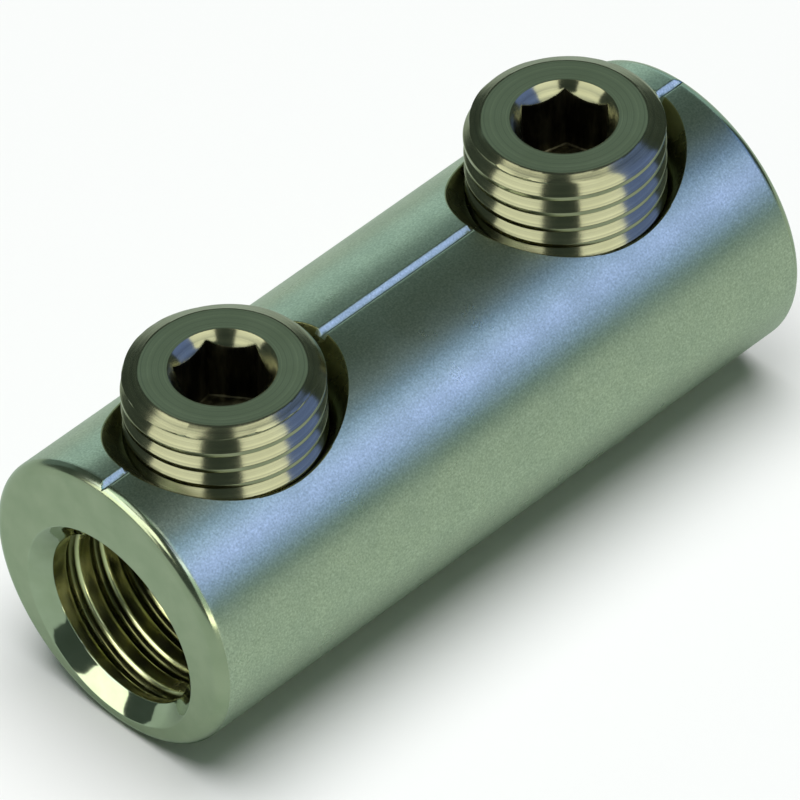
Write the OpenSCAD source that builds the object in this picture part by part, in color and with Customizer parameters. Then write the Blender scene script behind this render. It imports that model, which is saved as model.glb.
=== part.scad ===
// Two-screw in-line cable connector: a turned barrel with two blind
// conductor bores, clamped by two socket set screws that stand in one row.
// The barrel lies along X, the set screws point up along +Z, and the origin
// is the middle of the barrel's own axis. Millimetres.

/* [Barrel] */
// Outer diameter of the barrel
barrel_d = 19.2; // [18.6:0.2:22]
// Overall length of the barrel
barrel_l = 48; // [46:1:60]
// Radius of the rounded outer edge at each end
end_round = 0.75; // [0.3:0.05:0.9]
// Width of the V-shaped marking groove along the top
groove_w = 0.7; // [0.4:0.1:1.2]
// Depth of the marking groove
groove_t = 0.33; // [0.2:0.01:0.6]

/* [Conductor bores] */
// Diameter of a conductor bore, at the crest of its grip thread
bore_d = 11.4; // [9:0.1:11.4]
// How far the bore axis lies below the barrel axis
bore_drop = 1.7; // [1:0.1:1.7]
// Diameter of the countersink at the bore's mouth
mouth_d = 13.6; // [11.8:0.1:13.6]
// Depth of the countersink at the bore's mouth
mouth_t = 0.95; // [0.5:0.05:1.5]
// Thickness left between the points of the two bores
web_t = 2; // [1:0.5:4]
// Spacing of the grip grooves in a bore
grip_pitch = 1.95; // [1.6:0.05:2.4]
// Depth of the grip grooves
grip_t = 0.5; // [0.2:0.05:0.5]
// Plain length of a bore between its countersink and the first groove
grip_land = 1.6; // [1:0.1:2.5]

/* [Screw holes] */
// Distance of each screw axis from the middle of the barrel
screw_x = 14; // [13:0.5:16]
// Radial clearance of a screw in its hole
screw_clear = 0.03; // [0.01:0.01:0.1]
// Radius of the countersink round a screw, on the barrel's top line
sink_r = 7.95; // [7.4:0.05:8.4]
// Full angle of that countersink, in degrees
sink_angle = 78; // [70:1:90]
// Depth of a screw hole's floor below the barrel axis
hole_floor = 6; // [5:0.1:6]

/* [Clamp screws] */
// Outside diameter of the screw thread
screw_d = 12; // [10:0.5:12]
// Overall length of a screw
screw_l = 8.2; // [7.5:0.1:8.2]
// Radial width of the chamfer round a screw's head
head_chamfer_r = 1.1; // [0.6:0.1:1.4]
// Height of the chamfer round a screw's head
head_chamfer_h = 0.65; // [0.4:0.05:1]
// Chamfer at a screw's tip
tip_chamfer = 0.8; // [0.4:0.1:1]
// Width across flats of the hexagon socket
hex_af = 5; // [4:0.5:6]
// Depth of the hexagon socket
hex_t = 4.8; // [3:0.2:5]
// Diameter of the countersink at the socket's mouth
hex_mouth_d = 6.4; // [6:0.1:7.5]
// Height of the first screw's head above the barrel axis
head_z_a = 12.25; // [12.25:0.05:13.5]
// Height of the second screw's head above the barrel axis
head_z_b = 13.1; // [12.25:0.05:13.5]
// Turn of the first screw's hexagon, in degrees
hex_turn_a = 5.3; // [0:0.1:60]
// Turn of the second screw's hexagon, in degrees
hex_turn_b = 44.1; // [0:0.1:60]

/* [Hidden] */
$fn = 96;
barrel_r = barrel_d / 2;
bore_r = bore_d / 2;
screw_r = screw_d / 2;
hole_r = screw_r + screw_clear;
// a 118 degree drill point
point_l = bore_r / tan(59);
bore_l = barrel_l / 2 - web_t / 2 - point_l;
// straight wall of a bore, and how many grooves fit in it
wall_l = bore_l - mouth_t;
grip_w = grip_pitch * 0.52;
grip_n = floor((wall_l - grip_land - grip_w - 0.8) / grip_pitch) + 1;
// the countersink's cone meets the screw hole this far below the top line
sink_t = (sink_r - hole_r) / tan(sink_angle / 2);
hex_sink_t = (hex_mouth_d / 2 - hex_af / 2) * 1.25;
bright = [0.66, 0.70, 0.66];
golden = [0.72, 0.70, 0.52];

// Round bar with both outer edges rounded, along X
module rounded_bar(r, l, e) {
    arc = [for (a = [0 : 15 : 90]) [r - e + e * cos(a), l / 2 - e + e * sin(a)]];
    low = [for (p = [len(arc) - 1 : -1 : 0]) [arc[p][0], -arc[p][1]]];
    rotate([0, 90, 0])
        rotate_extrude($fn = 192)
            polygon(concat([[0, -l / 2]], low, arc, [[0, l / 2]]));
}

// One ring of the grip profile: narrow at the root, wide at the bore wall
module grip_ring() {
    rotate([0, -90, 0])
        rotate_extrude($fn = 128)
            polygon([
                [bore_r - 1, 0],
                [bore_r, 0],
                [bore_r + grip_t, grip_w * 0.22],
                [bore_r + grip_t, grip_w * 0.78],
                [bore_r, grip_w],
                [bore_r - 1, grip_w]
            ]);
}

// One blind conductor bore with its drill point, grip grooves and
// countersunk mouth, opening towards +X and starting at the barrel's middle
module conductor_bore() {
    translate([0, 0, -bore_drop]) {
        translate([barrel_l / 2 - bore_l, 0, 0])
            rotate([0, 90, 0]) cylinder(h = bore_l + 1, r = bore_r, $fn = 128);
        translate([web_t / 2, 0, 0])
            rotate([0, 90, 0]) cylinder(h = point_l, r1 = 0, r2 = bore_r, $fn = 128);
        translate([barrel_l / 2 - mouth_t, 0, 0])
            rotate([0, 90, 0])
                cylinder(h = mouth_t * 2, r1 = bore_r, r2 = mouth_d - bore_r, $fn = 128);
        for (k = [0 : grip_n - 1])
            translate([barrel_l / 2 - mouth_t - grip_land - k * grip_pitch, 0, 0])
                grip_ring();
    }
}

// One screw hole from above, with the countersink round it and a floor
// that is chamfered like the screw's tip
module screw_hole() {
    translate([0, 0, -hole_floor + tip_chamfer])
        cylinder(h = barrel_r + hole_floor + 1, r = hole_r, $fn = 128);
    translate([0, 0, -hole_floor])
        cylinder(h = tip_chamfer, r1 = hole_r - tip_chamfer, r2 = hole_r, $fn = 128);
    translate([0, 0, barrel_r - sink_t])
        cylinder(h = sink_t * 2, r1 = hole_r, r2 = 2 * sink_r - hole_r, $fn = 128);
}

module barrel() {
    color(bright)
        difference() {
            rounded_bar(barrel_r, barrel_l, end_round);
            conductor_bore();
            mirror([1, 0, 0]) conductor_bore();
            for (s = [-1, 1]) translate([s * screw_x, 0, 0]) screw_hole();
            translate([-barrel_l / 2 - 1, 0, barrel_r])
                rotate([90, 0, 90])
                    linear_extrude(height = barrel_l + 2)
                        polygon([[0, -groove_t], [groove_w, groove_t], [-groove_w, groove_t]]);
        }
}

// A socket set screw, its head face at z = 0 and its tip pointing down
module set_screw(turn) {
    difference() {
        rotate_extrude($fn = 128)
            polygon([
                [0, -screw_l],
                [screw_r - tip_chamfer, -screw_l],
                [screw_r, -screw_l + tip_chamfer],
                [screw_r, -head_chamfer_h],
                [screw_r - head_chamfer_r, 0],
                [0, 0]
            ]);
        rotate([0, 0, turn])
            translate([0, 0, -hex_t])
                cylinder(h = hex_t + 1, r = hex_af / 2 / cos(30), $fn = 6);
        translate([0, 0, -hex_sink_t])
            cylinder(h = hex_sink_t * 2, r1 = hex_af / 2, r2 = hex_mouth_d - hex_af / 2, $fn = 64);
    }
}

module clamp_screw_a() {
    color(golden) translate([-screw_x, 0, head_z_a]) set_screw(hex_turn_a);
}

module clamp_screw_b() {
    color(golden) translate([screw_x, 0, head_z_b]) set_screw(hex_turn_b);
}

barrel();
clamp_screw_a();
clamp_screw_b();
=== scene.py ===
import math
import bpy
import bmesh
import numpy as np
from mathutils import Vector, Matrix
from mathutils.geometry import delaunay_2d_cdt


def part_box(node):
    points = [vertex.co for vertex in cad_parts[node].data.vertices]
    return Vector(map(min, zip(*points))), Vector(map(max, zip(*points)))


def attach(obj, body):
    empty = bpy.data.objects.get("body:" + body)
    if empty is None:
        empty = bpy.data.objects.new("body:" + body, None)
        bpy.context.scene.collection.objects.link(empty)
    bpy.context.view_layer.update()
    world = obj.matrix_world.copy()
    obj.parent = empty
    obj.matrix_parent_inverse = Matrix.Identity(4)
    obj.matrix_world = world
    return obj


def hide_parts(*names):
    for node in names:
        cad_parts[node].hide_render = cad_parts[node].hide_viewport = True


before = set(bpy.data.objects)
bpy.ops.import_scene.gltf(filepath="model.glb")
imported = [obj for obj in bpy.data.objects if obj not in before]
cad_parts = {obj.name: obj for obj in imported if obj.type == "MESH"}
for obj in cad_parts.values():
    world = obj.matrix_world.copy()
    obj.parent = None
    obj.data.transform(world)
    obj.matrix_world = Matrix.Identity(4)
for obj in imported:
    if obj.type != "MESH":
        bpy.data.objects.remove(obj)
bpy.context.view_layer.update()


# ---------------------------------------------------------------- sizes, mm
MM = 0.001
box_lo, box_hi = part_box("barrel")
R = (box_hi.y - box_lo.y) / 2 / MM          # barrel radius
L = (box_hi.x - box_lo.x) / MM              # barrel length
EDGE = 0.75                                  # rounding of the outer edges
GROOVE_Z = R - 0.33                          # bottom of the marking groove
BORE_R = 5.7                                 # crest of the grip thread
BORE_Z = -1.7                                # axis of the bores
MOUTH_R, MOUTH_T = 6.8, 0.95                 # countersink of a bore
WEB = 2.0
HOLE_R = 6.03                                # screw hole
SINK_R, SINK_T = 7.95, math.tan(math.radians(39))
POCKET_Z = -6.0
SCREW_R, SCREW_L, SCREW_P = 6.0, 8.2, 1.25
GRIP_P = 1.95                                # pitch of the grip thread
screw_at = {}
for name in ("clamp_screw_a", "clamp_screw_b"):
    lo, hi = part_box(name)
    screw_at[name] = ((lo.x + hi.x) / 2 / MM, hi.z / MM)


# ------------------------------------------------------------ mesh building
class Shell:
    """Vertices and faces in millimetres, welded and turned into a mesh."""

    def __init__(self):
        self.v = []
        self.f = []

    def add(self, p):
        self.v.append((float(p[0]), float(p[1]), float(p[2])))
        return len(self.v) - 1

    def ring(self, pts):
        return [self.add(p) for p in pts]

    def face(self, *ids):
        out = []
        for i in ids:
            if i not in out:
                out.append(i)
        if len(out) > 2:
            self.f.append(tuple(out))

    def band(self, a, b, flip=False):
        """Quads between two closed rings of the same length."""
        n = len(a)
        for i in range(n):
            j = (i + 1) % n
            if flip:
                self.face(a[i], b[i], b[j], a[j])
            else:
                self.face(a[i], a[j], b[j], b[i])

    def cap(self, ring, centre, flip=False):
        c = self.add(centre)
        n = len(ring)
        for i in range(n):
            j = (i + 1) % n
            if flip:
                self.face(ring[j], ring[i], c)
            else:
                self.face(ring[i], ring[j], c)

    def mesh(self, name, weld=2e-4):
        me = bpy.data.meshes.new(name)
        me.from_pydata(self.v, [], self.f)
        bm = bmesh.new()
        bm.from_mesh(me)
        bmesh.ops.remove_doubles(bm, verts=bm.verts, dist=weld)
        bmesh.ops.dissolve_degenerate(bm, dist=1e-6, edges=bm.edges)
        bmesh.ops.recalc_face_normals(bm, faces=bm.faces)
        bm.to_mesh(me)
        bm.free()
        return me


def smooth_step(t):
    t = min(1.0, max(0.0, t))
    return t * t * (3 - 2 * t)


def interp_periodic(x, xs, ys, period):
    """ys at x for a profile that repeats; xs ascending within one period."""
    x = (x - xs[0]) % period + xs[0]
    for k in range(len(xs)):
        x0, y0 = xs[k], ys[k]
        if k + 1 < len(xs):
            x1, y1 = xs[k + 1], ys[k + 1]
        else:
            x1, y1 = xs[0] + period, ys[0]
        if x0 <= x <= x1 + 1e-12:
            return y0 + (y1 - y0) * (x - x0) / (x1 - x0)
    return ys[0]


def helical_tube(shell, thetas, pitch, phase, offs, t0, t1, place):
    """A tube whose rows of vertices follow a helix, so that the edges of a
    thread stay crisp. place(theta, t) gives the vertex. Returns the rings at
    t0 and t1."""
    n, k = len(thetas), len(offs)
    turns_lo = int(math.floor((t0 - phase) / pitch)) - 2
    turns_hi = int(math.ceil((t1 - phase) / pitch)) + 2
    lo = shell.ring([place(a, t0) for a in thetas])
    hi = shell.ring([place(a, t1) for a in thetas])
    rows = {}

    def vertex(m, i):
        key = (m, i)
        if key not in rows:
            a = thetas[i]
            t = phase + pitch * (m // k) + offs[m % k] + pitch * a / (2 * math.pi)
            if t <= t0 + 1e-4:
                rows[key] = lo[i]
            elif t >= t1 - 1e-4:
                rows[key] = hi[i]
            else:
                rows[key] = shell.add(place(a, t))
        return rows[key]

    for m in range(turns_lo * k, turns_hi * k):
        for i in range(n):
            if i + 1 < n:
                a, b, c, d = vertex(m, i), vertex(m, i + 1), vertex(m + 1, i + 1), vertex(m + 1, i)
            else:
                a, b, c, d = vertex(m, i), vertex(m + k, 0), vertex(m + 1 + k, 0), vertex(m + 1, i)
            shell.face(a, b, c, d)
    return lo, hi


# -------------------------------------------------------------- set screws
# one pitch of the 60 degree thread: distance along the axis, depth
THREAD = [(-0.160, 0.020), (-0.130, 0.004), (-0.100, 0.0), (0.100, 0.0), (0.130, 0.006),
          (0.160, 0.030), (0.28, 0.145), (0.40, 0.260), (0.52, 0.375), (0.62, 0.470),
          (0.680, 0.520), (0.730, 0.545), (0.780, 0.540), (0.820, 0.500), (0.89, 0.376),
          (0.97, 0.233), (1.03, 0.126)]
T_OFF = [t for t, _ in THREAD]
T_DEP = [d for _, d in THREAD]


def set_screw(name, x0, z0, turn, phase):
    n = 168
    step = 2 * math.pi / n
    thetas = [turn + i * step for i in range(n)]
    s = Shell()

    def envelope(z):
        r = SCREW_R
        if z > -0.65:
            r = min(r, 4.9 + (-z) * 1.1 / 0.65)
        if z < -SCREW_L + 0.8:
            r = min(r, 5.2 + (z + SCREW_L))
        return r

    def place(a, z):
        d = interp_periodic(z - phase - SCREW_P * a / (2 * math.pi), T_OFF, T_DEP, SCREW_P)
        r = min(SCREW_R - d, envelope(z))
        return (x0 + r * math.cos(a), r * math.sin(a), z0 + z)

    lo, hi = helical_tube(s, thetas, SCREW_P, phase, T_OFF, -SCREW_L, -0.025, place)

    def ring(r, z):
        return s.ring([(x0 + r * math.cos(a), r * math.sin(a), z0 + z) for a in thetas])

    # tip
    last = lo
    for r, z in ((4.6, -SCREW_L), (2.6, -SCREW_L + 0.01), (0.8, -SCREW_L + 0.02)):
        nxt = ring(r, z)
        s.band(nxt, last)
        last = nxt
    s.cap(last, (x0, 0, z0 - SCREW_L + 0.02), flip=True)

    # head: a broken edge, then a turned face with very shallow rings
    last = hi
    rings = [(4.885, -0.009), (4.855, 0.0)]
    r = 4.80
    k = 0
    while r > 3.30:
        rings.append((r, -0.0045 * (k % 2) - 0.0025 * ((k * 7) % 5) / 5))
        r -= 0.0425
        k += 1
    rings += [(3.245, -0.003), (3.215, -0.012)]
    for r, z in rings:
        nxt = ring(r, z)
        s.band(last, nxt)
        last = nxt

    # hexagon socket with its conical entry
    def hex_r(a):
        b = (a - turn) % (math.pi / 3) - math.pi / 6
        return 2.5 / math.cos(b)

    for t in (0.0, 0.33, 0.66, 0.93, 1.0):
        pts = []
        for a in thetas:
            h = hex_r(a)
            r = 3.19 + (h - 3.19) * t
            z = -0.03 - (3.19 - r) * 1.25
            if t == 1.0:
                z -= 0.03
            pts.append((x0 + r * math.cos(a), r * math.sin(a), z0 + z))
        nxt = s.ring(pts)
        s.band(last, nxt)
        last = nxt
    for z in (-1.3, -2.2, -3.2, -4.2, -4.72, -4.8):
        pts = []
        for a in thetas:
            h = hex_r(a) - (0.08 if z == -4.8 else 0)
            pts.append((x0 + h * math.cos(a), h * math.sin(a), z0 + z))
        nxt = s.ring(pts)
        s.band(last, nxt)
        last = nxt
    for r, z in ((2.1, -4.8), (2.0, -4.84), (1.0, -5.35)):
        nxt = ring(r, z)
        s.band(last, nxt)
        last = nxt
    s.cap(last, (x0, 0, z0 - 5.85))
    me = s.mesh(name)
    return me


# ------------------------------------------------------------------ barrel
N_T = 144
# half section of the V-shaped marking groove: distance from the middle, level
GROOVE = [(0.0, GROOVE_Z), (0.025, GROOVE_Z + 0.012), (0.15, R - 0.185), (0.27, R - 0.068),
          (0.305, R - 0.039), (0.34, R - 0.018), (0.38, R - 0.006), (0.43, R + 0.002)]
groove_y = [q[0] for q in GROOVE] + [0.56]
rows_theta = set()
for k in range(N_T):
    a = -math.pi + 2 * math.pi * k / N_T
    if abs(math.sin(a) * R) > 0.68 or math.cos(a) < 0:
        rows_theta.add(round(a, 9))
for y in groove_y:
    for sgn in (-1, 1):
        rows_theta.add(round(sgn * math.asin(y / R), 9))
THETAS = sorted(rows_theta)                  # from -pi up to just under pi


def groove_top(y):
    """Highest level of the metal at y, across the marking groove."""
    y = abs(y)
    if y >= GROOVE[-1][0] - 1e-6:
        return 1e3
    for (y0, z0), (y1, z1) in zip(GROOVE, GROOVE[1:]):
        if y <= y1 + 1e-9:
            return z0 + (z1 - z0) * (y - y0) / (y1 - y0)
    return 1e3


arc_deg = [0, 7, 14, 21, math.degrees(math.asin((GROOVE_Z - R + EDGE) / EDGE)), 38, 46, 54, 62, 70, 78, 84, 90]
stations = []                                # (u, x, r) along the barrel
for a in arc_deg:
    t = math.radians(a)
    stations.append((EDGE * t, -L / 2 + EDGE - EDGE * math.cos(t), R - EDGE + EDGE * math.sin(t)))
u1 = stations[-1][0]
body_l = L - 2 * EDGE
n_body = 58
for k in range(1, n_body):
    stations.append((u1 + body_l * k / n_body, -L / 2 + EDGE + body_l * k / n_body, R))
u2 = u1 + body_l
for a in reversed(arc_deg):
    t = math.radians(a)
    stations.append((u2 + EDGE * (math.pi / 2 - t), L / 2 - EDGE + EDGE * math.cos(t), R - EDGE + EDGE * math.sin(t)))
ST_U = np.array([q[0] for q in stations])
ST_X = np.array([q[1] for q in stations])
ST_R = np.array([q[2] for q in stations])


def outer_point(u, s):
    x = float(np.interp(u, ST_U, ST_X))
    r = float(np.interp(u, ST_U, ST_R))
    a = s / R
    y, z = r * math.sin(a), r * math.cos(a)
    if z > 0:
        z = min(z, groove_top(y))
    return (x, y, z)


def sink_rho(z):
    return SINK_R + (z - R) * SINK_T


def rim_point(phi):
    z = R
    for _ in range(60):
        rho = sink_rho(z)
        y = rho * math.sin(phi)
        z = math.sqrt(max(R * R - y * y, 1.0))
    return rho, y, z


FILLET = 0.12


def rim_section(xs, phi, steps=5):
    """Points of the small rounding of a countersink's rim at phi, from the
    barrel's surface to the cone."""
    rho, y, z = rim_point(phi)
    p = Vector((xs + rho * math.cos(phi), y, z))
    n1 = Vector((0, y, z)).normalized()
    c, s39 = math.cos(math.radians(39)), math.sin(math.radians(39))
    n2 = Vector((-c * math.cos(phi), -c * math.sin(phi), s39))
    dot = n1.dot(n2)
    centre = p - (n1 + n2) * (FILLET / (1 + dot))
    ang = math.acos(max(-1, min(1, dot)))
    out = []
    for k in range(steps + 1):
        t = k / steps
        w = (n1 * math.sin((1 - t) * ang) + n2 * math.sin(t * ang)) / math.sin(ang)
        out.append(centre + w * FILLET)
    # the first point exactly on the barrel, the last exactly on the cone
    a = math.atan2(out[0].y, out[0].z)
    out[0] = Vector((out[0].x, R * math.sin(a), R * math.cos(a)))
    q = out[-1]
    rr = sink_rho(q.z)
    d = Vector((q.x - xs, q.y)).normalized()
    out[-1] = Vector((xs + rr * d.x, rr * d.y, q.z))
    return out


def rim_phis(xs):
    """Angles round a countersink, with extra ones where the groove's lines
    cross its rim."""
    phis = set(round(2 * math.pi * k / 160, 9) for k in range(160))
    for y in groove_y:
        for base in (0.0, math.pi):
            for sgn in (-1, 1):
                # solve section[0].y == sgn * y near base
                lo_, hi_ = base - 0.12, base + 0.12
                f = lambda p: rim_section(xs, p)[0].y - sgn * y
                a, b = lo_, hi_
                fa = f(a)
                for _ in range(50):
                    m = (a + b) / 2
                    fm = f(m)
                    if (fm > 0) == (fa > 0):
                        a, fa = m, fm
                    else:
                        b = m
                phis.add(round((a + b) / 2 % (2 * math.pi), 9))
    out = sorted(phis)
    keep = [out[0]]
    special = set()
    for p in out[1:]:
        if p - keep[-1] > 1e-6:
            keep.append(p)
    # drop ordinary angles that crowd the special ones
    regular = set(round(2 * math.pi * k / 160, 9) for k in range(160))
    res = []
    for p in keep:
        if p in regular and any(0 < abs((p - q + math.pi) % (2 * math.pi) - math.pi) < 0.0085 for q in keep if q not in regular):
            continue
        res.append(p)
    return res


def barrel_mesh():
    s = Shell()
    pts2 = []
    edges2 = []
    kind = []                                # what each 2-D point is
    index = {}

    def add2(u, w, tag):
        key = (round(u, 5), round(w, 5))
        if key not in index:
            index[key] = len(pts2)
            pts2.append(Vector((u, w)))
            kind.append(tag)
        return index[key]

    rims = []
    for xs in sorted(v[0] for v in screw_at.values()):
        phis = rim_phis(xs)
        sections = [rim_section(xs, p) for p in phis]
        ids = []
        loop = []
        for sec in sections:
            q = sec[0]
            u = u1 + (q.x + L / 2 - EDGE)
            w = R * math.atan2(q.y, q.z)
            loop.append((u, w))
            ids.append(add2(u, w, ("rim",)))
        for i in range(len(ids)):
            edges2.append((ids[i], ids[(i + 1) % len(ids)]))
        rims.append((xs, phis, sections, np.array(loop)))

    def inside(u, w, loop, grow=0.0):
        cu, cw = loop[:, 0].mean(), loop[:, 1].mean()
        ang = np.arctan2(loop[:, 1] - cw, loop[:, 0] - cu)
        rad = np.hypot(loop[:, 0] - cu, loop[:, 1] - cw)
        order = np.argsort(ang)
        a = math.atan2(w - cw, u - cu)
        r = np.interp(a, ang[order], rad[order], period=2 * math.pi)
        return math.hypot(u - cu, w - cw) < r + grow

    w_rows = [R * a for a in THETAS] + [R * math.pi]
    groove_rows = set(round(R * math.asin(sgn * y / R), 5) for y in groove_y for sgn in (-1, 1))
    for u, x, r in stations:
        for w in w_rows:
            grow = 0.12
            if round(w, 5) in groove_rows:
                grow = 0.05
            if any(inside(u, w, loop, grow) for _, _, _, loop in rims):
                continue
            add2(u, w, ("grid",))
    # keep the groove's lines as edges
    for y in groove_y:
        for sgn in (-1, 1):
            w = R * math.asin(sgn * y / R)
            line = sorted((p.x, i) for i, p in enumerate(pts2) if abs(p.y - w) < 2e-4)
            for (ua, ia), (ub, ib) in zip(line, line[1:]):
                mid = (ua + ub) / 2
                if any(inside(mid, w, loop, -0.02) for _, _, _, loop in rims):
                    continue
                if ia != ib:
                    edges2.append((ia, ib))
    edges2 = list(set(tuple(sorted(e)) for e in edges2))
    vo, eo, fo, ov, oe, of_ = delaunay_2d_cdt(pts2, edges2, [], 0, 1e-7)
    base = {}
    for i, p in enumerate(vo):
        w = p.y
        base[i] = s.add(outer_point(p.x, w))
    for f in fo:
        cu = sum(vo[i].x for i in f) / len(f)
        cw = sum(vo[i].y for i in f) / len(f)
        if any(inside(cu, cw, loop) for _, _, _, loop in rims):
            continue
        s.face(*[base[i] for i in f])
    print("outer skin:", len(pts2), "->", len(vo), "points,", len(fo), "faces")

    # rims, countersink cones and the top of each screw hole
    for xs, phis, sections, loop in rims:
        rings = []
        for k in range(len(sections[0])):
            pts = []
            for sec in sections:
                q = sec[k]
                pts.append((q.x, q.y, min(q.z, groove_top(q.y))))
            rings.append(s.ring(pts))
        z_low = R - (SINK_R - HOLE_R) / SINK_T
        for t in (0.11, 0.3, 0.55, 0.8, 1.0):
            pts = []
            for sec in sections:
                q = sec[-1]
                z = q.z + (z_low - q.z) * t
                d = Vector((q.x - xs, q.y)).normalized()
                rr = sink_rho(z)
                pts.append((xs + rr * d.x, rr * d.y, min(z, groove_top(rr * d.y))))
            rings.append(s.ring(pts))
        pts = [(s.v[i][0], s.v[i][1], 7.0) for i in rings[-1]]
        rings.append(s.ring(pts))
        for a, b in zip(rings, rings[1:]):
            s.band(a, b)
        s.cap(rings[-1], (xs, 0, 7.0))

    # end faces, mouths, grip threads and drill points
    ridge = [(0.0, 0.0), (0.12, 0.02), (0.24, 0.10), (0.34, 0.28), (0.44, 0.46), (0.56, 0.54),
             (0.70, 0.56), (0.86, 0.54), (0.97, 0.46), (1.06, 0.28), (1.16, 0.10), (1.26, 0.02),
             (1.38, 0.0), (1.62, 0.0)]
    g_off = [q[0] for q in ridge]
    g_dep = [q[1] for q in ridge]
    for side in (-1, 1):
        face_x = side * L / 2

        def ring_at(x, r, cz):
            return s.ring([(x, r * math.sin(a), cz + r * math.cos(a)) for a in THETAS])

        outer = ring_at(face_x, R - EDGE, 0)
        last = outer
        # the flat face, as a fan of rings from the outer circle to the mouth
        for t in (0.25, 0.5, 0.75, 1.0):
            r = (R - EDGE) + (MOUTH_R + 0.05 - (R - EDGE)) * t
            cz = BORE_Z * t
            nxt = ring_at(face_x, r, cz)
            s.band(last, nxt)
            last = nxt
        cone_a = math.atan2(MOUTH_R - BORE_R, MOUTH_T)
        for r, d in ((MOUTH_R + 0.012, 0.010), (MOUTH_R - 0.02, 0.030),
                     (MOUTH_R - 0.30, 0.259), (MOUTH_R - 0.60, 0.518), (MOUTH_R - 0.90, 0.777),
                     (BORE_R + 0.035, MOUTH_T - 0.028), (BORE_R + 0.008, MOUTH_T)):
            nxt = ring_at(face_x - side * d, r, BORE_Z)
            s.band(last, nxt)
            last = nxt
        depth_end = L / 2 - WEB / 2 - BORE_R / math.tan(math.radians(59))

        def place(a, t):
            """t is the distance in from the face."""
            g = interp_periodic(t - grip_phase - GRIP_P * a / (2 * math.pi), g_off, g_dep, GRIP_P)
            fade = smooth_step((t - MOUTH_T - 0.15) / 1.1) * smooth_step((depth_end - 0.4 - t) / 1.2)
            r = BORE_R + g * fade
            return (face_x - side * t, side * r * math.sin(a), BORE_Z + r * math.cos(a))

        grip_phase = 0.35
        th = [side * a for a in THETAS]
        if side < 0:
            th = th[::-1]
        lo, hi = helical_tube(s, th, GRIP_P, grip_phase, g_off, MOUTH_T + 0.03, depth_end, place)
        order = [None] * len(THETAS)
        # place() mirrors the angle on the far side, so match rings by position
        s.band(last, s.ring([s.v[i] for i in sorted(lo, key=lambda q: math.atan2(s.v[q][1], s.v[q][2] - BORE_Z))]))
        tip = [i for i in sorted(hi, key=lambda q: math.atan2(s.v[q][1], s.v[q][2] - BORE_Z))]
        last = s.ring([s.v[i] for i in tip])
        for t in (0.3, 0.6, 0.85):
            nxt = ring_at(face_x - side * (depth_end + (L / 2 - WEB / 2 - depth_end) * t), BORE_R * (1 - t), BORE_Z)
            s.band(last, nxt)
            last = nxt
        s.cap(last, (side * WEB / 2, 0, BORE_Z))
    return s


def hole_cutter(xs, head_z, phase):
    """The screw hole below the countersink, with its own thread."""
    s = Shell()
    n = 144
    thetas = [2 * math.pi * i / n for i in range(n)]
    g = [(-0.30, 0.0), (-0.22, 0.05), (-0.10, 0.33), (-0.05, 0.40), (0.05, 0.40), (0.10, 0.33), (0.22, 0.05), (0.30, 0.0), (0.62, 0.0)]
    off = [q[0] for q in g]
    dep = [q[1] for q in g]

    def place(a, z):
        d = interp_periodic(z - head_z - phase - SCREW_P * a / (2 * math.pi), off, dep, SCREW_P)
        fade = smooth_step((7.0 - z) / 0.35) * smooth_step((z - POCKET_Z - 0.9) / 0.8)
        r = HOLE_R + d * fade
        return (xs + r * math.cos(a), r * math.sin(a), z)

    def ring(r, z):
        return s.ring([(xs + r * math.cos(a), r * math.sin(a), z) for a in thetas])

    lo, hi = helical_tube(s, thetas, SCREW_P, head_z + phase, off, POCKET_Z + 0.8, 6.97, place)
    last = hi
    for r, z in ((HOLE_R + 0.012, 6.99), (HOLE_R - 0.02, 7.04), (HOLE_R - 0.02, 7.3)):
        nxt = ring(r, z)
        s.band(last, nxt)
        last = nxt
    s.cap(last, (xs, 0, 7.3))
    last = lo
    for r, z in ((HOLE_R - 0.8, POCKET_Z), (3.0, POCKET_Z), (1.2, POCKET_Z - 0.02)):
        nxt = ring(r, z)
        s.band(nxt, last)
        last = nxt
    s.cap(last, (xs, 0, POCKET_Z - 0.05), flip=True)
    return s


def closed(me):
    bm = bmesh.new()
    bm.from_mesh(me)
    bad = sum(1 for e in bm.edges if len(e.link_faces) != 2)
    vol = bm.calc_volume(signed=True)
    n = len(bm.faces)
    bm.free()
    return bad, vol, n


def link(name, me):
    o = bpy.data.objects.new(name, me)
    bpy.context.scene.collection.objects.link(o)
    return o


PHASE = {"clamp_screw_a": 0.415, "clamp_screw_b": 0.657}
TURN = {"clamp_screw_a": math.radians(5.3), "clamp_screw_b": math.radians(44.1)}

body = link("barrel_body", barrel_mesh().mesh("barrel_body"))
print("barrel before holes: open edges, volume, faces", closed(body.data))
for name, (xs, hz) in screw_at.items():
    cut = link("cut_" + name, hole_cutter(xs, hz, PHASE[name]).mesh("cut"))
    print("cutter", closed(cut.data))
    mod = body.modifiers.new("cut", "BOOLEAN")
    mod.operation = "DIFFERENCE"
    mod.solver = "MANIFOLD"
    mod.object = cut
    bpy.context.view_layer.update()
    dg = bpy.context.evaluated_depsgraph_get()
    me = bpy.data.meshes.new_from_object(body.evaluated_get(dg))
    body.modifiers.clear()
    body.data = me
    me.name = "barrel_body"
    bpy.data.objects.remove(cut)
print("barrel: open edges, volume, faces", closed(body.data))
screws = {}
for name, (xs, hz) in screw_at.items():
    me = set_screw(name, xs, hz, TURN[name], PHASE[name])
    print(name, closed(me))
    screws[name] = link("set_screw_" + name[-1], me)


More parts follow.
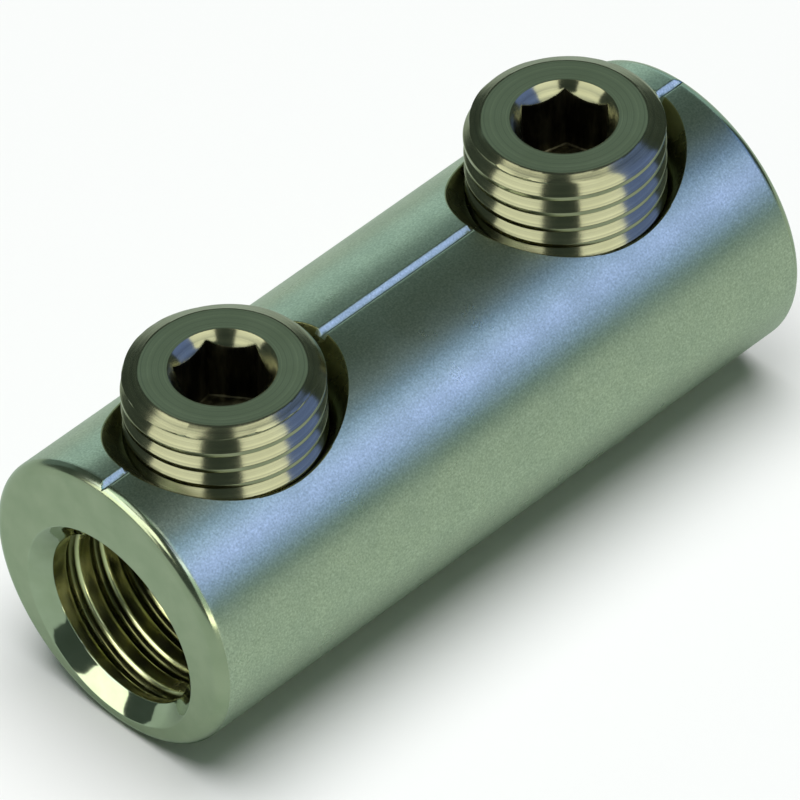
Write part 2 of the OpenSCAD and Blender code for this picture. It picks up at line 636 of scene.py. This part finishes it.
# ---------------------------------------------------------------- materials
def new_material(name):
    m = bpy.data.materials.new(name)
    m.use_nodes = True
    nt = m.node_tree
    for n in list(nt.nodes):
        nt.nodes.remove(n)
    out = nt.nodes.new("ShaderNodeOutputMaterial")
    bsdf = nt.nodes.new("ShaderNodeBsdfPrincipled")
    nt.links.new(bsdf.outputs["BSDF"], out.inputs["Surface"])
    bsdf.inputs["Metallic"].default_value = 1.0
    return m, nt, bsdf


def node(nt, kind, **values):
    n = nt.nodes.new(kind)
    for k, v in values.items():
        if hasattr(n, k):
            setattr(n, k, v)
        else:
            n.inputs[k.replace("_", " ")].default_value = v
    return n


def coords(nt):
    return nt.nodes.new("ShaderNodeTexCoord").outputs["Object"]


def noise(nt, vec, scale, detail=3.0, rough=0.5, stretch=None):
    if stretch:
        mp = nt.nodes.new("ShaderNodeMapping")
        mp.inputs["Scale"].default_value = stretch
        nt.links.new(vec, mp.inputs["Vector"])
        vec = mp.outputs["Vector"]
    n = nt.nodes.new("ShaderNodeTexNoise")
    n.inputs["Scale"].default_value = scale
    n.inputs["Detail"].default_value = detail
    n.inputs["Roughness"].default_value = rough
    nt.links.new(vec, n.inputs["Vector"])
    return n.outputs["Fac"]


def remap(nt, val, a, b, c, d):
    n = nt.nodes.new("ShaderNodeMapRange")
    n.inputs["From Min"].default_value = a
    n.inputs["From Max"].default_value = b
    n.inputs["To Min"].default_value = c
    n.inputs["To Max"].default_value = d
    nt.links.new(val, n.inputs["Value"])
    return n.outputs["Result"]


def math2(nt, op, a, b):
    n = nt.nodes.new("ShaderNodeMath")
    n.operation = op
    for i, v in enumerate((a, b)):
        if isinstance(v, (int, float)):
            n.inputs[i].default_value = v
        else:
            nt.links.new(v, n.inputs[i])
    return n.outputs["Value"]


def mix_colour(nt, fac, a, b):
    n = nt.nodes.new("ShaderNodeMix")
    n.data_type = "RGBA"
    if isinstance(fac, (int, float)):
        n.inputs[0].default_value = fac
    else:
        nt.links.new(fac, n.inputs[0])
    for i, c in ((6, a), (7, b)):
        if isinstance(c, tuple):
            n.inputs[i].default_value = (*c, 1)
        else:
            nt.links.new(c, n.inputs[i])
    return n.outputs[2]


def bump(nt, height, distance, strength=1.0, normal=None):
    n = nt.nodes.new("ShaderNodeBump")
    n.inputs["Distance"].default_value = distance
    n.inputs["Strength"].default_value = strength
    nt.links.new(height, n.inputs["Height"])
    if normal is not None:
        nt.links.new(normal, n.inputs["Normal"])
    return n.outputs["Normal"]


def satin_skin():
    m, nt, b = new_material("barrel_skin")
    v = coords(nt)
    grain = noise(nt, v, 6500, 2.0, 0.7)
    cloud = noise(nt, v, 420, 3.0, 0.55)
    wide = noise(nt, v, 110, 2.0, 0.5)
    c = mix_colour(nt, remap(nt, grain, 0.3, 0.7, 0, 1), (0.392, 0.438, 0.330), (0.524, 0.578, 0.444))
    c = mix_colour(nt, remap(nt, cloud, 0.35, 0.65, 0, 0.5), c, (0.392, 0.446, 0.350))
    speck = noise(nt, v, 8200, 1.0, 0.5)
    c = mix_colour(nt, remap(nt, speck, 0.52, 0.72, 0, 0.55), c, (0.29, 0.34, 0.26))
    c = mix_colour(nt, remap(nt, speck, 0.47, 0.28, 0, 0.45), c, (0.64, 0.70, 0.58))
    nt.links.new(c, b.inputs["Base Color"])
    r = remap(nt, math2(nt, "ADD", math2(nt, "MULTIPLY", cloud, 0.6), math2(nt, "MULTIPLY", wide, 0.4)), 0.3, 0.7, 0.26, 0.34)
    nt.links.new(r, b.inputs["Roughness"])
    nt.links.new(bump(nt, grain, 0.000007), b.inputs["Normal"])
    return m


def turned_face():
    m, nt, b = new_material("barrel_turned")
    v = coords(nt)
    # rings about the barrel's axis
    sep = nt.nodes.new("ShaderNodeSeparateXYZ")
    nt.links.new(v, sep.inputs[0])
    yy = math2(nt, "MULTIPLY", sep.outputs["Y"], sep.outputs["Y"])
    zz = math2(nt, "MULTIPLY", sep.outputs["Z"], sep.outputs["Z"])
    rad = math2(nt, "SQRT", math2(nt, "ADD", yy, zz), 0.0)
    rings = nt.nodes.new("ShaderNodeTexNoise")
    rings.noise_dimensions = "1D"
    rings.inputs["Scale"].default_value = 5200
    rings.inputs["Detail"].default_value = 2.0
    nt.links.new(rad, rings.inputs["W"])
    cloud = noise(nt, v, 600, 3.0, 0.5)
    c = mix_colour(nt, remap(nt, cloud, 0.3, 0.7, 0, 1), (0.345, 0.395, 0.275), (0.410, 0.450, 0.325))
    nt.links.new(c, b.inputs["Base Color"])
    r = remap(nt, cloud, 0.3, 0.7, 0.16, 0.22)
    nt.links.new(r, b.inputs["Roughness"])
    nt.links.new(bump(nt, rings.outputs["Fac"], 0.000006), b.inputs["Normal"])
    return m


def bore_metal():
    """Bare golden brass, with painted shade: darker towards the roots between the grip thread's crests."""
    m, nt, b = new_material("barrel_bore")
    v = coords(nt)
    cloud = noise(nt, v, 700, 3.0, 0.5)
    fine = noise(nt, v, 2600, 2.0, 0.5, stretch=(1.0, 0.25, 0.25))
    sep = nt.nodes.new("ShaderNodeSeparateXYZ")
    nt.links.new(v, sep.inputs[0])
    zz = math2(nt, "ADD", sep.outputs["Z"], -BORE_Z * MM)
    rad = math2(nt, "SQRT", math2(nt, "ADD", math2(nt, "MULTIPLY", sep.outputs["Y"], sep.outputs["Y"]), math2(nt, "MULTIPLY", zz, zz)), 0.0)
    # painted shade: the colour darkens towards the thread's roots, by distance from the bore's axis
    painted_root_shade = remap(nt, rad, (BORE_R + 0.05) * MM, (BORE_R + 0.28) * MM, 0.0, 1.0)
    c = mix_colour(nt, remap(nt, cloud, 0.3, 0.7, 0, 1), (0.66, 0.67, 0.38), (0.84, 0.83, 0.54))
    c = mix_colour(nt, painted_root_shade, c, (0.14, 0.14, 0.065))
    nt.links.new(c, b.inputs["Base Color"])
    nt.links.new(remap(nt, cloud, 0.3, 0.7, 0.18, 0.28), b.inputs["Roughness"])
    nt.links.new(bump(nt, fine, 0.000010), b.inputs["Normal"])
    return m


def screw_metal(name):
    """Turned metal: fine rings about each screw's own axis, which stands
    14 mm to either side of the middle."""
    m, nt, b = new_material(name)
    v = coords(nt)
    streak = noise(nt, v, 900, 3.0, 0.6, stretch=(1.0, 1.0, 6.0))
    cloud = noise(nt, v, 500, 3.0, 0.5)
    sep = nt.nodes.new("ShaderNodeSeparateXYZ")
    nt.links.new(v, sep.inputs[0])
    off = math2(nt, "SUBTRACT", math2(nt, "ABSOLUTE", sep.outputs["X"], 0.0), 0.014)
    rad = math2(nt, "SQRT", math2(nt, "ADD", math2(nt, "MULTIPLY", off, off), math2(nt, "MULTIPLY", sep.outputs["Y"], sep.outputs["Y"])), 0.0)
    rings = nt.nodes.new("ShaderNodeTexNoise")
    rings.noise_dimensions = "1D"
    rings.inputs["Scale"].default_value = 5200
    rings.inputs["Detail"].default_value = 3.0
    rings.inputs["Roughness"].default_value = 0.65
    nt.links.new(rad, rings.inputs["W"])
    c = mix_colour(nt, remap(nt, cloud, 0.3, 0.7, 0, 1), (0.35, 0.34, 0.225), (0.43, 0.42, 0.29))
    c = mix_colour(nt, remap(nt, rings.outputs["Fac"], 0.35, 0.68, 0.0, 0.75), c, (0.255, 0.255, 0.18))
    nt.links.new(c, b.inputs["Base Color"])
    nt.links.new(remap(nt, cloud, 0.3, 0.7, 0.15, 0.23), b.inputs["Roughness"])
    b.inputs["Anisotropic"].default_value = 0.75
    b.inputs["Anisotropic Rotation"].default_value = 0.25
    tan = nt.nodes.new("ShaderNodeTangent")
    tan.direction_type = "RADIAL"
    tan.axis = "Z"
    nt.links.new(tan.outputs[0], b.inputs["Tangent"])
    h = math2(nt, "ADD", math2(nt, "MULTIPLY", rings.outputs["Fac"], 0.7), math2(nt, "MULTIPLY", streak, 0.3))
    nt.links.new(bump(nt, h, 0.000005), b.inputs["Normal"])
    return m


def socket_shade_metal():
    """Deep, unlit walls, painted near black as painted shade, with lighter streaks."""
    m, nt, b = new_material("screw_socket")
    v = coords(nt)
    streak = noise(nt, v, 1100, 3.0, 0.6, stretch=(1.0, 1.0, 0.2))
    # painted shade: near-black walls deep in the socket, streaked lighter
    c = mix_colour(nt, remap(nt, streak, 0.45, 0.75, 0, 1), (0.050, 0.046, 0.030), (0.22, 0.20, 0.13))
    nt.links.new(c, b.inputs["Base Color"])
    nt.links.new(remap(nt, streak, 0.3, 0.7, 0.30, 0.45), b.inputs["Roughness"])
    nt.links.new(bump(nt, streak, 0.000010), b.inputs["Normal"])
    return m


def sink_shade_metal():
    m, nt, b = new_material("barrel_sink")
    v = coords(nt)
    cloud = noise(nt, v, 380, 3.0, 0.55)
    fine = noise(nt, v, 2400, 2.0, 0.5)
    # brass tone darkened as painted shade for the recessed countersinks and screw holes
    c = mix_colour(nt, remap(nt, cloud, 0.35, 0.65, 0, 1), (0.17, 0.17, 0.075), (0.30, 0.29, 0.13))
    nt.links.new(c, b.inputs["Base Color"])
    nt.links.new(remap(nt, cloud, 0.3, 0.7, 0.22, 0.34), b.inputs["Roughness"])
    nt.links.new(bump(nt, fine, 0.000008), b.inputs["Normal"])
    return m


def mouth_metal():
    m, nt, b = new_material("barrel_mouth")
    v = coords(nt)
    cloud = noise(nt, v, 600, 3.0, 0.5)
    fine = noise(nt, v, 1500, 2.0, 0.5)
    c = mix_colour(nt, remap(nt, cloud, 0.3, 0.7, 0, 1), (0.38, 0.43, 0.31), (0.45, 0.50, 0.38))
    nt.links.new(c, b.inputs["Base Color"])
    nt.links.new(remap(nt, cloud, 0.3, 0.7, 0.05, 0.09), b.inputs["Roughness"])
    nt.links.new(bump(nt, fine, 0.000002), b.inputs["Normal"])
    return m


# --------------------------------------------------- finish the barrel's mesh
SKIN, TURNED, BORE, SINK, MOUTH = 0, 1, 2, 3, 4


def finish_barrel(me):
    """Sorts the faces by the surface they belong to and gives the exact
    normals of the turned surfaces."""
    n = len(me.polygons)
    me.polygons.foreach_set("use_smooth", [True] * n)
    me.set_sharp_from_angle(angle=math.radians(32))
    me.update()
    co = np.zeros(len(me.vertices) * 3)
    me.vertices.foreach_get("co", co)
    co = co.reshape(-1, 3)
    nrm = np.zeros(len(me.loops) * 3)
    me.corner_normals.foreach_get("vector", nrm)
    nrm = nrm.reshape(-1, 3)
    slot = np.zeros(n, np.int32)
    for p in me.polygons:
        ids = list(p.vertices)
        c = co[ids].mean(0)
        fn = np.array(p.normal)
        rr = math.hypot(c[1], c[2])
        rv = np.hypot(co[ids][:, 1], co[ids][:, 2])
        radial = np.array([0, c[1], c[2]]) / max(rr, 1e-9)
        ax = abs(c[0])
        kind = BORE
        if ax > L / 2 - EDGE - 1e-4 and rv.min() > R - EDGE - 0.02 and fn[0] * c[0] > -1e-6 and fn @ radial > -0.2:
            # rounded outer edge or the rim of the face
            kind = TURNED if rr < R - 0.02 else SKIN
            for li in p.loop_indices:
                q = co[me.loops[li].vertex_index]
                qr = math.hypot(q[1], q[2])
                if q[2] > 0 and abs(q[1]) < GROOVE[-1][0] + 1e-3 and abs(q[2] - groove_top(q[1])) < 2e-3:
                    continue
                ux = (abs(q[0]) - (L / 2 - EDGE)) / EDGE
                ur = (qr - (R - EDGE)) / EDGE
                ln = math.hypot(ux, ur)
                if abs(ln - 1) < 0.02:
                    nrm[li] = (math.copysign(ux / ln, q[0]), ur / ln * q[1] / qr, ur / ln * q[2] / qr)
        elif ax <= L / 2 - EDGE + 1e-3 and rv.min() > R - 5e-3:
            kind = SKIN
            for li in p.loop_indices:
                q = co[me.loops[li].vertex_index]
                qr = math.hypot(q[1], q[2])
                nrm[li] = (0, q[1] / qr, q[2] / qr)
        elif abs(fn[0]) > 0.999 and ax > L / 2 - 1e-3:
            kind = TURNED
            for li in p.loop_indices:
                nrm[li] = (math.copysign(1, c[0]), 0, 0)
        elif ax > L / 2 - MOUTH_T - 0.02:
            kind = MOUTH
        elif rr > R - 0.40 and abs(c[1]) < 0.45 and c[2] > 0:
            kind = SKIN                      # marking groove
        elif c[2] > 5.2:
            kind = SINK                      # countersinks and screw holes, brass darkened as painted shade
        else:
            kind = BORE
        slot[p.index] = kind
    me.polygons.foreach_set("material_index", slot)
    me.normals_split_custom_set([tuple(v) for v in nrm])


body.data.materials.clear()
for m in (satin_skin(), turned_face(), bore_metal(), sink_shade_metal(), mouth_metal()):
    body.data.materials.append(m)
finish_barrel(body.data)
print("faces per finish", np.bincount([p.material_index for p in body.data.polygons]))
screw_mat = screw_metal("screw_turned")
socket_shade_mat = socket_shade_metal()
for o in screws.values():
    me = o.data
    me.polygons.foreach_set("use_smooth", [True] * len(me.polygons))
    me.set_sharp_from_angle(angle=math.radians(32))
    me.materials.clear()
    me.materials.append(screw_mat)
    me.materials.append(socket_shade_mat)
    xs, hz = screw_at["clamp_screw_" + o.name[-1]]
    for p in me.polygons:
        # the hexagon's walls and floor, below its conical entry, take the near-black painted shade
        if math.hypot(p.center.x - xs, p.center.y) < 3.0 and hz - 5.9 < p.center.z < hz - 0.75:
            p.material_index = 1
for o in (body, *screws.values()):
    o.data.transform(Matrix.Scale(MM, 4))
    o.data.update()

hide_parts("barrel")
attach(body, "barrel")
for name, o in screws.items():
    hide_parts(name)
    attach(o, name)

# ------------------------------------------------------------------- camera
AZ, EL, ROLL = -2.32033950, 0.765306746, -0.0448851113
DIST, TX, TY, FOCAL = 73.5632712, -0.01211255, -0.014718385, 12001.5129
c = Vector((math.cos(EL) * math.cos(AZ), math.cos(EL) * math.sin(AZ), math.sin(EL)))
r0 = Vector((-math.sin(AZ), math.cos(AZ), 0))
u0 = c.cross(r0)
right = r0 * math.cos(ROLL) + u0 * math.sin(ROLL)
up = u0 * math.cos(ROLL) - r0 * math.sin(ROLL)
cam_data = bpy.data.cameras.new("camera")
cam = bpy.data.objects.new("camera", cam_data)
bpy.context.scene.collection.objects.link(cam)
cam.location = (c * DIST + right * TX + up * TY) * 0.0096
cam.rotation_euler = Matrix((right, up, c)).transposed().to_euler()
cam_data.sensor_width = 36
cam_data.lens = 36 * FOCAL / 800
cam_data.clip_start = 0.01
bpy.context.scene.camera = cam

# -------------------------------------------------------------------- stage
NEAR = Vector((c.x, c.y, 0)).normalized()
SIDE = Vector((-NEAR.y, NEAR.x, 0))
if SIDE.dot(right) < 0:
    SIDE = -SIDE
UP = Vector((0, 0, 1))


def direction(a, e):
    """a degrees round to the right of the camera, e degrees up."""
    a, e = math.radians(a), math.radians(e)
    return (NEAR * math.cos(a) + SIDE * math.sin(a)) * math.cos(e) + UP * math.sin(e)


def emitter(name, colour, strength):
    m = bpy.data.materials.new(name)
    m.use_nodes = True
    nt = m.node_tree
    for n in list(nt.nodes):
        nt.nodes.remove(n)
    out = nt.nodes.new("ShaderNodeOutputMaterial")
    em = nt.nodes.new("ShaderNodeEmission")
    em.inputs["Color"].default_value = (*colour, 1)
    em.inputs["Strength"].default_value = strength
    clear = nt.nodes.new("ShaderNodeBsdfTransparent")
    both = nt.nodes.new("ShaderNodeAddShader")
    nt.links.new(em.outputs[0], both.inputs[0])
    nt.links.new(clear.outputs[0], both.inputs[1])
    nt.links.new(both.outputs[0], out.inputs["Surface"])
    return m


def card(name, corners, dist, colour, receivers):
    """A softbox: a patch of a sphere round the object, facing it, that lights
    only the pieces in its collection. The corners go round it as (a, e)."""
    (a0, e0), (a1, e1), (a2, e2), (a3, e3) = corners
    vs, fs = [], []
    n = 8
    for j in range(n + 1):
        t = j / n
        for i in range(n + 1):
            k = i / n
            a = (a0 * (1 - k) + a3 * k) * (1 - t) + (a1 * (1 - k) + a2 * k) * t
            e = (e0 * (1 - k) + e3 * k) * (1 - t) + (e1 * (1 - k) + e2 * k) * t
            vs.append(direction(a, e) * dist)
    for j in range(n):
        for i in range(n):
            p = j * (n + 1) + i
            fs.append((p, p + 1, p + n + 2, p + n + 1))
    me = bpy.data.meshes.new(name)
    me.from_pydata(vs, [], fs)
    me.materials.append(emitter(name, colour, 1.0))
    o = link(name, me)
    o.visible_camera = False
    o.visible_shadow = False
    o.light_linking.receiver_collection = receivers
    return o


# where each softbox stands (round from the camera, up) and its colour
BARREL_CARDS = [
    ("left_mid", -85, -50, 6, 26, (2.30, 2.35, 1.95)),
    ("left_low", -58, -48, 26, 50, (2.30, 2.35, 2.05)),
    ("left_side", -94, -58, 38, 49, (2.60, 2.65, 2.40)),
    ("left_high", -92, -58, 26, 38, (2.13, 2.25, 2.35)),
    ("left_top", -102, -72, 49, 74, (1.26, 1.51, 1.36)),
    ("front_low", 12, 50, 0, 9, (3.69, 3.61, 2.80)),
    ("front_mid", 13, 48, 9, 26, (0.47, 0.63, 0.53)),
    ("front_high", 14, 48, 26, 38, (0.82, 1.02, 0.94)),
    ("front_upper", 15, 50, 38, 50, (2.01, 2.22, 2.51)),
    ("front_over", 15, 58, 50, 62, (0.65, 0.70, 1.07)),
    ("top_right", 58, 92, 61, 75, (1.44, 1.47, 1.29)),
    ("right_top", 55, 82, 49, 61, (0.30, 0.70, 0.96)),
    ("blue_high", 58, 92, 37, 49, (0.71, 0.91, 1.59)),
    ("blue_mid", 56, 92, 26, 37, (0.89, 1.06, 2.38)),
    ("blue_low", 58, 92, 14, 26, (0.38, 0.56, 1.11)),
    ("blue_side", 92, 120, 26, 49, (0.15, 0.29, 0.87)),
    ("right_low", 50, 100, 0, 14, (0.09, 0.16, 0.12)),
    ("far_right", 135, 182, 0, 40, (0.37, 0.55, 0.60)),
    ("far_left", 180, 208, 0, 28, (0.54, 0.73, 0.72)),
    ("far_strip", 208, 240, 0, 30, (0.10, 0.14, 0.15)),
    ("mid_left", -47, -26, 27, 52, (2.70, 2.72, 2.35)),
    ("left_up2", -71, -40, 56, 74, (1.40, 1.45, 1.40)),
    ("zenith", 0, 100, 75, 89, (0.39, 0.51, 0.44)),
]
SCREW_CARDS = [
    ("left", [(-26, 22), (-48, 78), (-106, 56), (-82, 16)], (1.62, 1.66, 1.42)),
    ("right", [(9, 22), (16, 80), (82, 65), (55, 20)], (1.62, 1.66, 1.42)),
    ("blue", [(55, 20), (82, 65), (117, 42), (101, 6)], (0.17, 0.26, 0.78)),
    ("far_top", [(138, 34), (138, 62), (222, 62), (222, 34)], (0.175, 0.265, 0.25)),
]
lit_barrel = bpy.data.collections.new("lit_barrel")
lit_barrel.objects.link(body)
lit_screws = bpy.data.collections.new("lit_screws")
for o in screws.values():
    lit_screws.objects.link(o)
for n_, a0, a1, e0, e1, rgb in BARREL_CARDS:
    card("card_b_" + n_, [(a0, e0), (a0, e1), (a1, e1), (a1, e0)], 0.55, rgb, lit_barrel)
for n_, corners_, rgb in SCREW_CARDS:
    card("card_s_" + n_, corners_, 0.57, rgb, lit_screws)

floor_me = bpy.data.meshes.new("floor")
F = 1.6
zf = -R * MM
floor_me.from_pydata([(-F, -F, zf), (F, -F, zf), (F, F, zf), (-F, F, zf)], [], [(0, 1, 2, 3)])
fm = bpy.data.materials.new("floor")
fm.use_nodes = True
fnt = fm.node_tree
for n in list(fnt.nodes):
    fnt.nodes.remove(n)
fo = fnt.nodes.new("ShaderNodeOutputMaterial")
f1 = fnt.nodes.new("ShaderNodeBsdfDiffuse")
f1.inputs["Color"].default_value = (0.88, 0.88, 0.88, 1)
f2 = fnt.nodes.new("ShaderNodeBsdfDiffuse")
f2.inputs["Color"].default_value = (0.50, 0.59, 0.52, 1)
flp = fnt.nodes.new("ShaderNodeLightPath")
fmx = fnt.nodes.new("ShaderNodeMixShader")
fnt.links.new(flp.outputs["Is Glossy Ray"], fmx.inputs[0])
fnt.links.new(f1.outputs[0], fmx.inputs[1])
fnt.links.new(f2.outputs[0], fmx.inputs[2])
fnt.links.new(fmx.outputs[0], fo.inputs["Surface"])
floor_me.materials.append(fm)
floor = link("floor", floor_me)

# a large soft light overhead that only fills the floor
ld = bpy.data.lights.new("overhead", "AREA")
ld.shape = "DISK"
ld.size = 0.9
ld.energy = 10.4
ld.color = (1, 1, 1)
lo_ = bpy.data.objects.new("overhead", ld)
bpy.context.scene.collection.objects.link(lo_)
lo_.location = (0, 0, 0.9)
lo_.visible_glossy = False
lo_.visible_camera = False

world = bpy.data.worlds.new("studio")
bpy.context.scene.world = world
world.use_nodes = True
wn = world.node_tree
for n in list(wn.nodes):
    wn.nodes.remove(n)
wo = wn.nodes.new("ShaderNodeOutputWorld")
bg1 = wn.nodes.new("ShaderNodeBackground")
bg1.inputs["Color"].default_value = (0.070, 0.094, 0.080, 1)
bg2 = wn.nodes.new("ShaderNodeBackground")
bg2.inputs["Color"].default_value = (1, 1, 1, 1)
lp = wn.nodes.new("ShaderNodeLightPath")
mx = wn.nodes.new("ShaderNodeMixShader")
wn.links.new(lp.outputs["Is Camera Ray"], mx.inputs[0])
wn.links.new(bg1.outputs[0], mx.inputs[1])
wn.links.new(bg2.outputs[0], mx.inputs[2])
wn.links.new(mx.outputs[0], wo.inputs["Surface"])
bpy.context.scene.view_settings.view_transform = "Standard"
bpy.context.scene.view_settings.look = "None"
